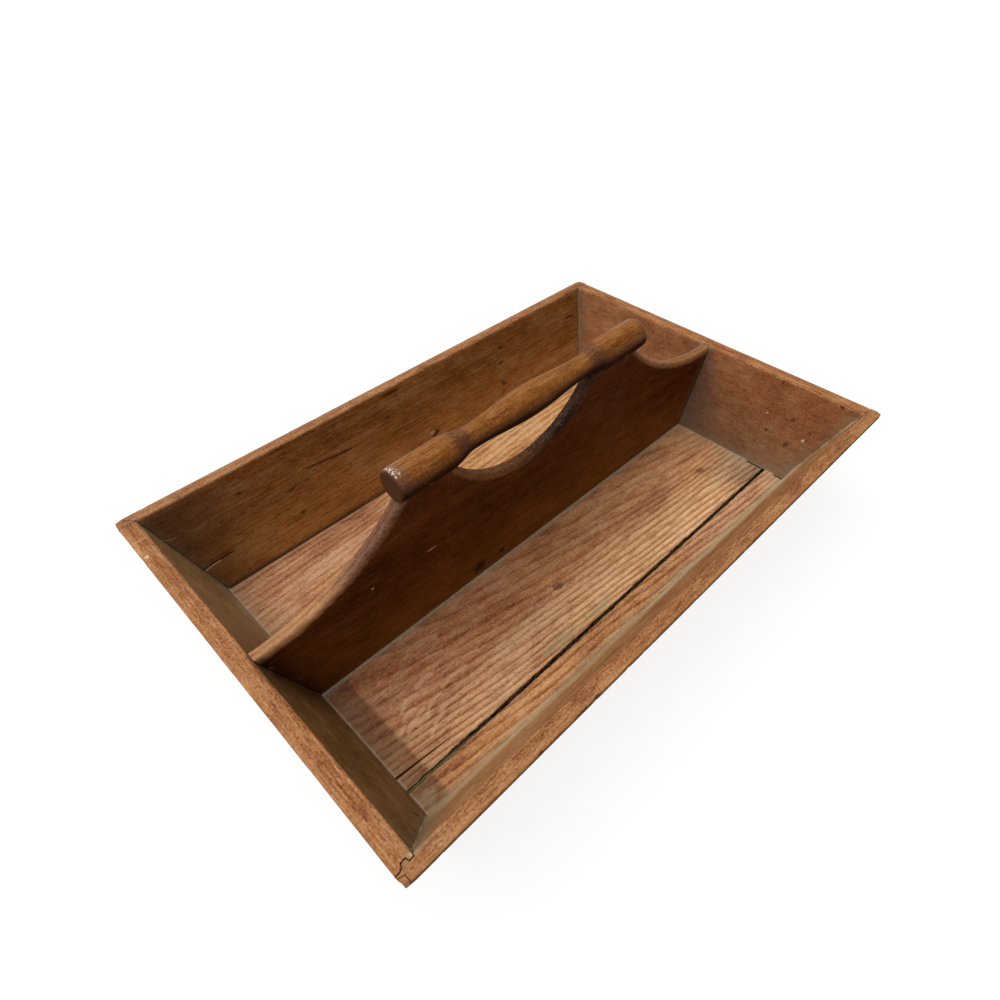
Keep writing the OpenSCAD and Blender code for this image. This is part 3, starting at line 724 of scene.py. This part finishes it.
for x, z, radius, shade, stretch in (
    (-115.4, 59.2, 0.7, "#D8B898", 1.0), (-77, 58.4, 0.7, "#B08868", 4.0), (-44.6, 16, 3.4, "#120703", 1.3),
    (-26.4, 16, 1.8, "#120703", 1.3), (-62, 40.6, 0.8, "#120703", 5.0),
):
    centre = (x, DIVIDER_Y - DIVIDER_HALF, z)
    colour = spot(tree, colour, tray["place"], centre, radius, shade, 0.75, stretch)
rough = add(tree, "MapRange", {"Value": patch, "To Min": 0.42, "To Max": 0.6})[0]
normal = relief(tree, [(figure["fibre"], 0.05), (figure["speck"], 0.04)])
dress(tree, colour, rough, normal, Specular_IOR_Level=0.08)

# %% [markdown]
# ## The polished handle
# The handle was turned from a close-grained hardwood and has been polished by hands ever since, so it is the
# smoothest piece, with pale highlights painted along its top. It shines the most near its ends. At the left end tiny
# dents break the shine into sparkles; they are far smaller than a lamp's reflection here, so they are painted on
# as pale flecks. The flat ends show dark end grain, and the necks have darkened.

# %% Polished turned hardwood
HANDLE_X, HANDLE_HALF, NECK = -2.0, 91.5, 50.0
TURNED = {
    "streak": (40, 2.5, 0.25), "blotch": (20, 9, 0.25), "patch": (9, 2.5, 0.2),
    "fibre": (12, 0.8, 0.35), "speck": (1.3, 1.0, 0.45), "pore": (3.2, 0.7, 0.3),
}
handle_wood, tree = new_tree("polished_turned_hardwood")
wood = in_wood(tree, pith=(0, -14, 104))
years = rings(tree, wood, 3.0, 6.0)
lengthways = add(tree, "SeparateXYZ", {"Vector": in_wood(tree)})["X"]
upward = add(tree, "SeparateXYZ", {"Vector": add(tree, "NewGeometry")["Normal"]})["Z"]
from_middle = apart(tree, lengthways, HANDLE_X)
from_neck = apart(tree, from_middle, NECK)
colour, figure = figured(tree, HANDLE, wood, years, 0.12, TURNED, "#8A5630", "#C89058")
colour = tint(tree, colour, from_neck, 9, 1, "#4C2C24", 0.62)
colour = tint(tree, colour, lengthways, -83, -90, "#6E5048", 0.45)
# painted shade: the handle darkens the more its surface faces down
colour = tint(tree, colour, upward, 0.75, -0.25, "#40281A", 1.0, "MULTIPLY")
colour = tint(tree, colour, from_middle, HANDLE_HALF - 1.2, HANDLE_HALF - 0.5, HANDLE_END, 0.9)
print("the handle's ends are at", HANDLE_X - HANDLE_HALF, "and", HANDLE_X + HANDLE_HALF, "mm")

# %% Painted gleam and sparkles
topmost = add(tree, "MapRange", {"Value": upward, "From Min": 0.55, "From Max": 0.95})[0]
painted_gleam = stretched(tree, wood, 16, 0.8, shift=350)
painted_gleam = add(tree, "Math", {0: painted_gleam, 1: topmost}, operation="MULTIPLY")[0]
# painted highlight: pale streaks along the handle's top
colour = tint(tree, colour, painted_gleam, 0.42, 0.62, "#C89A68", 0.22)
left_end = add(tree, "MapRange", {"Value": lengthways, "From Min": -84, "From Max": -90})[0]
painted_sparkles = stretched(tree, wood, 1.1, 0.8, shift=300)
for share in (upward, left_end):
    painted_sparkles = add(tree, "Math", {0: painted_sparkles, 1: share}, operation="MULTIPLY")[0]
# painted highlight: pale sparkle flecks near the left end's top
colour = tint(tree, colour, painted_sparkles, 0.47, 0.56, "#E6DAD0", 0.9)
deeper = {"From Min": 76, "From Max": 84, "To Min": 0.02, "To Max": 0.14}
deeper = add(tree, "MapRange", {"Value": from_middle, **deeper})[0]
bumps = add(tree, "Math", {0: figure["speck"], 1: deeper}, operation="MULTIPLY")[0]
normal = relief(tree, [(figure["fibre"], 0.05), (figure["pore"], -0.06), (bumps, 1.0)])
smoother = {"From Min": 66, "From Max": 84, "To Min": 0.5, "To Max": 0.34}
rough = add(tree, "MapRange", {"Value": from_middle, **smoother})[0]
dress(tree, colour, rough, normal, Specular_IOR_Level=0.08)

# %% [markdown]
# ## Pegs and nails
# The pegs that hold the handle are slips of the same wood, and only their round ends show. The nails are
# soft iron, rusted dull: brown scale over a dark metal that shows between the spots. Both keep their solid
# shapes and only get a finish.

# %% Peg wood
peg_wood, tree = new_tree("pared_peg_wood")
place = in_wood(tree, turn=-90)
fibre = stretched(tree, place, 8, 0.6)
speck = stretched(tree, place, 1.0, 0.7, shift=60)
colour = tint(tree, "#8A5A32", fibre, 0.4, 0.65, "#5A3418", 0.7)
colour = tint(tree, colour, speck, 0.5, 0.7, "#B58552", 0.4)
dress(tree, colour, 0.5, relief(tree, [(fibre, 0.05)]))

# %% Rusted iron
nail_iron, tree = new_tree("rusted_nail_iron")
place = in_wood(tree)
scale_spots = stretched(tree, place, 1.2, 1.2)
fine = stretched(tree, place, 0.5, 0.5, shift=60)
colour = tint(tree, "#2B2522", scale_spots, 0.42, 0.62, "#5E3420", 0.9)
colour = tint(tree, colour, fine, 0.55, 0.75, "#8A5230", 0.5)
bare_iron = {"From Min": 0.35, "From Max": 0.6, "To Min": 0.7, "To Max": 0.1}
bare_iron = add(tree, "MapRange", {"Value": scale_spots, **bare_iron})[0]
dress(tree, colour, 0.72, relief(tree, [(fine, 0.08), (scale_spots, 0.1)]), Metallic=bare_iron)

# %% Give the pegs and nails their finish
for node, material in (
    ("handle_pegs", peg_wood), ("side_floor_nails", nail_iron), ("end_floor_nails", nail_iron),
    ("divider_floor_nails", nail_iron), ("divider_end_nails", nail_iron),
):
    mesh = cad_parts[node].data
    mesh.materials.clear()
    mesh.materials.append(material)
    print(node, "gets", material.name)

# %% [markdown]
# ## Stock from the solids
# The solids already have the true joints, coves and openings, so each wooden piece starts as a copy of its
# solid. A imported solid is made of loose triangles. Its doubled points are merged and its flat faces made
# whole, which leaves a clean blank. A blank has points only at its corners, and so it can't be worn: we saw
# it across and along with many flat cuts, which don't change its shape.

# %% Copy and saw
def stock(node):
    """A copy of a solid with its triangles joined into whole faces."""
    bm = bmesh.new()
    bm.from_mesh(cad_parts[node].data)
    bmesh.ops.remove_doubles(bm, verts=bm.verts, dist=0.002 * MM)
    bmesh.ops.dissolve_limit(bm, angle_limit=math.radians(0.4), verts=bm.verts, edges=bm.edges)
    return bm


def saw(bm, direction, spacing):
    """Cuts a piece into slices of about the given spacing along a direction, in millimetres."""
    direction = Vector(direction).normalized()
    places = [point.co.dot(direction) for point in bm.verts]
    first, last = min(places), max(places)
    slices = max(1, round((last - first) / (spacing * MM)))
    for cut in range(1, slices):
        where = first + (last - first) * cut / slices
        parts = bm.verts[:] + bm.edges[:] + bm.faces[:]
        bmesh.ops.bisect_plane(bm, geom=parts, dist=0.001 * MM, plane_co=direction * where, plane_no=direction)


blank = stock("handle")
print("the handle's blank has", len(blank.faces), "whole faces")
blank.free()

# %% [markdown]
# ## Wear
# Old boards are never flat: the plane left shallow hollows, and a century of hands has rounded every edge
# that can be reached. All of this only takes wood away, so each point moves inwards, by a smooth noise on the
# faces and by more near the edges. The same walk over the points measures how worn each one is. An edge that
# another piece covers was never touched, so the distance to the other solids is measured first.

# %% Find the edges that hands reach
COVER = 1.0


def others(node):
    """The surface of all the other solids, to measure distances to."""
    joined = bmesh.new()
    for name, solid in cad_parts.items():
        if name != node:
            joined.from_mesh(solid.data)
    surface = BVHTree.FromBMesh(joined)
    joined.free()
    return surface


def open_edges(bm, near):
    """Points on the rounded or sharp edges that no other piece covers."""
    points = []
    for edge in bm.edges:
        if len(edge.link_faces) == 2 and edge.is_convex and edge.calc_face_angle(0) > math.radians(12):
            middle = (edge.verts[0].co + edge.verts[1].co) / 2
            out = (edge.link_faces[0].normal + edge.link_faces[1].normal).normalized()
            if near.find_nearest(middle + out * 1.2 * MM)[3] > COVER * MM:
                points += [edge.verts[0].co.copy(), middle, edge.verts[1].co.copy()]
    return points


print("an edge is open when nothing else lies within", COVER, "mm of it")


# %% Wear a piece
HOLLOW_LENGTH, HOLLOW_WIDTH, CHIP_SIZE = 45, 14, 4


def wear(bm, node, hollow=0.12, edge_loss=0.12, chips=0.5, full=1.2, reach=3.0, seed=0):
    """Takes wood away by hollows and worn edges, in millimetres, and notes how worn each point is.

    A point is fully worn up to a distance called full from an open edge, and beyond the reach only hollowed.
    """
    bm.normal_update()
    points = open_edges(bm, others(node))
    edges = kdtree.KDTree(len(points))
    for index, point in enumerate(points):
        edges.insert(point, index)
    edges.balance()
    worn = bm.verts.layers.float.new("worn")
    shift = Vector((seed * 7.3, seed * 3.1, seed * 5.7))
    moves = []
    for point in bm.verts:
        place = point.co / MM
        close = min(1.0, max(0.0, (reach - edges.find(point.co)[2] / MM) / (reach - full)))
        point[worn] = close * close * (3 - 2 * close)
        wave = Vector((place.x / HOLLOW_LENGTH, place.y / HOLLOW_WIDTH, place.z / HOLLOW_WIDTH)) + shift
        wave = 0.5 + 0.5 * noise.noise(wave)
        chip = max(0.0, noise.noise(place / CHIP_SIZE + shift) - 0.35) / 0.65
        moves.append(point.normal * -(hollow * wave + point[worn] * (edge_loss + chips * chip)) * MM)
    for point, move in zip(bm.verts, moves):
        point.co += move


def knock(bm, place, radius, move):
    """Pushes the points around a place, all in millimetres: a dent, or a corner that has been worn off."""
    for point in bm.verts:
        close = max(0.0, 1 - (point.co / MM - Vector(place)).length / radius)
        point.co += Vector(move) * (close * close * (3 - 2 * close)) * MM


print("hollows are about", HOLLOW_LENGTH, "by", HOLLOW_WIDTH, "mm, and chips about", CHIP_SIZE, "mm")

# %% [markdown]
# ## Splits
# A split opens along the grain and is narrower than the sawn mesh is fine. The edges round its path are
# divided first, so that it has points of its own, and then the points beside the path sink into the wood.

# %% Cut splits
def away_from(place, path):
    """The distance from a place to a path of straight stretches."""
    distances = []
    for start, end in zip(path, path[1:]):
        foot, share = geometry.intersect_point_line(place, start, end)
        if not 0 <= share <= 1:
            foot = start if share < 0 else end
        distances.append((place - foot).length)
    return min(distances)


def refine(bm, path, around, cuts):
    """Divides the edges that lie within a distance of a path, to give a narrow split its own points."""
    path = [Vector(point) for point in path]
    near = [edge for edge in bm.edges if all(away_from(end.co / MM, path) < around for end in edge.verts)]
    bmesh.ops.subdivide_edges(bm, edges=near, cuts=cuts, use_grid_fill=True)


def split(bm, path, width, depth):
    """Sinks a narrow line into the faces along a path and marks it as a crack."""
    crack = bm.verts.layers.float.new("crack")
    path = [Vector(point) for point in path]
    bm.normal_update()
    for point in bm.verts:
        close = min(1.0, 1.5 * max(0.0, 1 - away_from(point.co / MM, path) / width))
        point[crack] = close
        point.co -= point.normal * close * depth * MM


stretch = [Vector((0, 0, 0)), Vector((10, 0, 0))]
print("a point 3 mm beside a stretch is", away_from(Vector((5, 3, 0)), stretch), "mm away from it")

# %% [markdown]
# ## From mesh to piece
# Rounded and worn edges have to shade softly, and sawn ones stay crisp. One mesh can have both: its faces are
# smooth, and an edge is sharp only where they meet at more than a given angle. Each piece rides on the tray's
# one body, and a board also takes the place of its solid.

# %% Finish a piece
SHARP = 33


def make_piece(bm, name, material, sharp=SHARP):
    """Makes a piece from its bmesh, with smooth faces and edges that are crisp from an angle in degrees."""
    bmesh.ops.recalc_face_normals(bm, faces=bm.faces)
    mesh = bpy.data.meshes.new(name)
    bm.to_mesh(mesh)
    bm.free()
    mesh.shade_smooth()
    mesh.set_sharp_from_angle(angle=math.radians(sharp))
    mesh.materials.append(material)
    piece = bpy.data.objects.new(name, mesh)
    bpy.context.scene.collection.objects.link(piece)
    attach(piece, "root")
    print(name, "has", len(mesh.polygons), "faces")
    return piece


def finish(bm, name, node, material):
    """Makes a piece that stands in place of its solid."""
    piece = make_piece(bm, name, material)
    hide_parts(node)


print("edges over", SHARP, "degrees stay crisp")

# %% [markdown]
# ## The long boards
# They lean out by 24.5 degrees. Their ends show at the tray's four corners, flush with the short boards, so
# the end edges of the rim are rounded like the rest of it first. The near corner's seam is bent into its
# broken line, and the rear board has lost its lower inner edge, which leaves a gap along the floor whose
# shade is also painted black.
#
# The boards are sawn along their length, up their slope and through their thickness, so that the narrow rim
# gets points of its own.

# %% Rounded ends and the bent seam
RIM_X, RIM_Y, RIM_ROUND = 190.0, 125.0, 1.3
SEAM_Y, SEAM_WIDTH, SEAM_FOOT = -116.5, 6, 58
SEAM_SHIFTS = (
    (-179.4, -0.8), (-180, -1.2), (-182.3, -1.4), (-182.6, 0.4),
    (-185.2, 0.2), (-185.5, -1.1), (-186.8, -1.9), (-190, -2.1),
)


def round_end(bm):
    """Rounds the square ends of a long board where they meet the rim, like the rim's other edges."""
    for point in bm.verts:
        side = math.copysign(1, point.co.x)
        down = RIM_TOP - point.co.z / MM
        inward = (RIM_X - down * math.tan(END_LEAN) - abs(point.co.x) / MM) * math.cos(END_LEAN)
        if down < RIM_ROUND and inward < RIM_ROUND:
            short = 1 - math.hypot(RIM_ROUND - down, RIM_ROUND - inward) / RIM_ROUND
            if short < 0:
                point.co.x += side * short * (RIM_ROUND - inward) * MM
                point.co.z += short * (RIM_ROUND - down) * MM


def bend_seam(bm):
    """Bends the seam at the near corner of the rim into the broken line it has now."""
    for point in bm.verts:
        place = point.co / MM
        if place.x > -179 or place.z < SEAM_FOOT:
            continue
        for (x0, shift0), (x1, shift1) in zip(SEAM_SHIFTS, SEAM_SHIFTS[1:]):
            if x1 <= place.x <= x0:
                shift = shift0 + (shift1 - shift0) * (place.x - x0) / (x1 - x0)
                fade = max(0.0, 1 - abs(place.y - SEAM_Y) / SEAM_WIDTH) * min(1.0, (place.z - SEAM_FOOT) / 5)
                point.co.y += shift * fade * MM


def knock_corners(bm, corners):
    """Wears off corners of the rim, each given as two signs."""
    for x, y in corners:
        knock(bm, (x * RIM_X, y * RIM_Y, RIM_TOP), 6, (-x * 0.8, -y * 0.8, -0.3))


def edges_where(bm, test):
    """Edges whose two ends both pass a test on their place in millimetres."""
    return [edge for edge in bm.edges if all(test(end.co / MM) for end in edge.verts)]


print("the seam is shifted by up to", max(abs(shift) for place, shift in SEAM_SHIFTS), "mm")

# %% Cut and wear the long boards
FOOT_ROUND = 0.9
for node, name, side in (("front_side", "front_long_board", -1), ("rear_side", "rear_long_board", 1)):
    bm = stock(node)
    if side == 1:
        foot = edges_where(bm, lambda at: abs(at.z - FLOOR_TOP) < 0.05 and abs(at.y - FOOT_Y) < 0.3)
        bmesh.ops.bevel(
            bm, geom=foot, offset=FOOT_ROUND * MM, offset_type="OFFSET", affect="EDGES",
            segments=3, profile=0.5, material=-1, clamp_overlap=True,
        )
    saw(bm, (1, 0, 0), 2.0)
    saw(bm, (0, 0, 1), 3.0)
    saw(bm, (0, side * math.cos(SIDE_LEAN), -math.sin(SIDE_LEAN)), 1.3)
    for end in (-1, 1):
        refine(bm, [(end * RIM_X, side * 115, RIM_TOP), (end * RIM_X, side * RIM_Y, RIM_TOP)], 3, 3)
    round_end(bm)
    if side == -1:
        refine(bm, [(-181, -119, 66), (-188, -122, 66)], 4.5, 2)
        bend_seam(bm)
    else:
        refine(bm, [(-166, 98.6, 25.6), (-142, 98.5, 25.4)], 3, 3)
    wear(bm, node, chips=0.3, seed=2 + side)
    if side == 1:
        split(bm, [(-164, 98.3, 25), (-158, 98.6, 25.6), (-152, 98.6, 25.6), (-144.4, 98.7, 26)], 0.6, 0.5)
    knock_corners(bm, ((-1, side), (1, side)))
    finish(bm, name, node, side_wood)

# %% [markdown]
# ## The short boards
# They lean out by 21.9 degrees, and their length is across the tray. The left one shares the broken seam with
# the front board, so the same function bends it there, and the two stay together.

# %% Cut and wear the short boards
for node, name, side in (("left_end", "left_short_board", -1), ("right_end", "right_short_board", 1)):
    bm = stock(node)
    saw(bm, (0, 1, 0), 2.0)
    saw(bm, (0, 0, 1), 3.0)
    saw(bm, (side * math.cos(END_LEAN), 0, -math.sin(END_LEAN)), 1.3)
    if side == -1:
        refine(bm, [(-180, -116, RIM_TOP), (-189, -117, RIM_TOP)], 4.5, 4)
        bend_seam(bm)
    wear(bm, node, chips=0.3, seed=6 + side)
    knock_corners(bm, ((side, -1), (side, 1)))
    finish(bm, name, node, end_wood)

# %% [markdown]
# ## The floor boards
# The floor is two planks with an open joint between them. Their sawn edges along the joint have lost
# splinters, so the points there move away from the joint by a noise that changes every few millimetres.

# %% Cut and wear the floor boards
WIDE_EDGE, NARROW_EDGE, FRAYED = -75.9, -77.5, 1.6


def fray(bm, joint, side):
    """Breaks small splinters out of the edge of a plank along the open joint, fewer at its right end."""
    for point in bm.verts:
        place = point.co / MM
        near = max(0.0, 1 - abs(place.y - joint) / FRAYED)
        splinter = noise.noise(Vector((place.x / 6, side * 9, 0)))
        splinter += 0.6 * noise.noise(Vector((place.x / 1.7, side * 5, 3)))
        point.co.y += side * near * max(0.0, splinter) * (0.9 if place.x < 40 else 0.4) * MM


for node, name, joint, side in (
    ("wide_floor_board", "wide_floor_plank", WIDE_EDGE, 1),
    ("narrow_floor_board", "narrow_floor_plank", NARROW_EDGE, -1),
):
    bm = stock(node)
    saw(bm, (1, 0, 0), 1.5)
    saw(bm, (0, 1, 0), 2.5)
    saw(bm, (0, 0, 1), 2.0)
    edge = edges_where(bm, lambda at: abs(at.y - joint) < 3.2 and at.z > FLOOR_TOP - 2.5)
    bmesh.ops.subdivide_edges(bm, edges=edge, cuts=1, use_grid_fill=True)
    wear(bm, node, hollow=0.1, edge_loss=0.2, chips=0.3, full=0.5, reach=1.6, seed=11)
    fray(bm, joint, side)
    finish(bm, name, node, floor_wood)

# %% [markdown]
# ## Dirt in the open joint
# Near the left end the joint has filled almost to the top with greenish dirt and splinters, dry and without
# any shine. It is one ragged strip as wide as the joint, which sinks away from the end, and past about a
# fifth of the length the joint is open.

# %% Pack dirt into the joint
joint_dirt, tree = new_tree("packed_joint_dirt")
place = in_wood(tree)
crumbs = stretched(tree, place, 1.6, 0.7)
fibres = stretched(tree, place, 9, 0.5, shift=40)
colour = tint(tree, "#5E5236", fibres, 0.4, 0.62, "#8C7A54", 0.7)
colour = tint(tree, colour, crumbs, 0.5, 0.66, "#2A1F12", 0.7)
dress(tree, colour, 0.9, relief(tree, [(crumbs, 0.3), (fibres, 0.15)]), Specular_IOR_Level=0.05)

DIRT_X, DIRT_Y, DIRT_Z = (-157, -96), (NARROW_EDGE, WIDE_EDGE), (2.0, 8.5)
size = Vector([last - first for first, last in (DIRT_X, DIRT_Y, DIRT_Z)])
middle = Vector([sum(reach) for reach in (DIRT_X, DIRT_Y, DIRT_Z)]) / 2
bm = bmesh.new()
bmesh.ops.create_cube(bm, size=1.0, matrix=Matrix.Translation(middle * MM) @ Matrix.Diagonal((*(size * MM), 1)))
saw(bm, (1, 0, 0), 0.7)
saw(bm, (0, 1, 0), 0.4)
for point in bm.verts:
    place = point.co / MM
    if place.z > DIRT_Z[1] - 0.1:
        from_end = (place.x - DIRT_X[0]) / size.x
        crumb = 0.5 + 0.5 * noise.noise(Vector((place.x / 3, place.y * 1.5, 0)))
        point.co.z -= (3.8 * from_end * from_end + 1.1 * crumb) * MM
make_piece(bm, "joint_dirt", joint_dirt, sharp=180)

# %% [markdown]
# ## The divider
# Its coves and its finger opening have rounded edges, which hands have polished for a century.

# %% Cut and wear the divider
bm = stock("divider")
saw(bm, (1, 0, 0), 2.0)
saw(bm, (0, 0, 1), 2.5)
saw(bm, (0, 1, 0), 1.3)
wear(bm, "divider", edge_loss=0.15, chips=0.3, full=1.0, reach=3.4, seed=17)
finish(bm, "divider_board", "divider", divider_wood)

# %% [markdown]
# ## The handle
# It was turned on a lathe, so it only needs cuts along its length. Wear takes very little off it.

# %% Cut and wear the handle
bm = stock("handle")
saw(bm, (1, 0, 0), 1.5)
wear(bm, "handle", hollow=0.08, edge_loss=0.1, chips=0.2, reach=2.5, seed=23)
finish(bm, "turned_handle", "handle", handle_wood)
